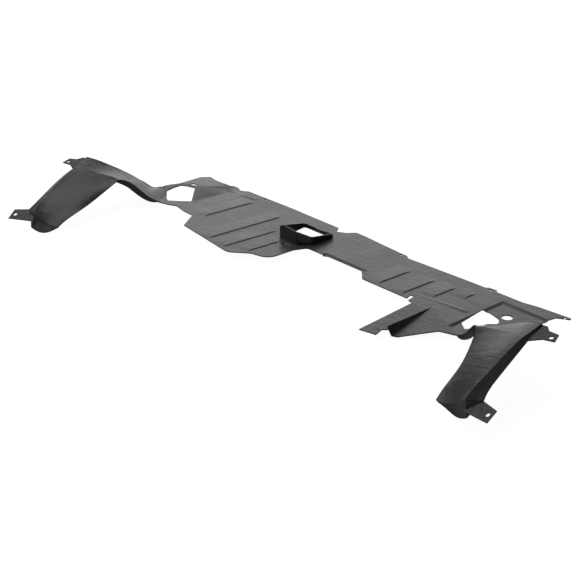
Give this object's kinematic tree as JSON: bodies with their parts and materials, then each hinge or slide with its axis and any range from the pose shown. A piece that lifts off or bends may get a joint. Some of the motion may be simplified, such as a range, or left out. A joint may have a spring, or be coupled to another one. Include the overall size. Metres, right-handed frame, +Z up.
{
  "type": "engine splash shield",
  "caption": "Thin moulded plastic sheet that closes the underside of a car's engine bay, with a ducted panel between two raised wheel-arch wings.",
  "frame": {"origin": "middle of the lying sheet's outer box, on the surface it lies on", "axes": "+X across the car to its left-hand wing in the picture's right, +Y towards the front edge, +Z up"},
  "size_m": [1.4962, 0.5346, 0.1197],
  "materials": {
    "black_polypropylene": "satin moulded sheet with a fine grain"
  },
  "bodies": {
    "root": {"splash_shield": "black_polypropylene"}
  },
  "joints": []
}
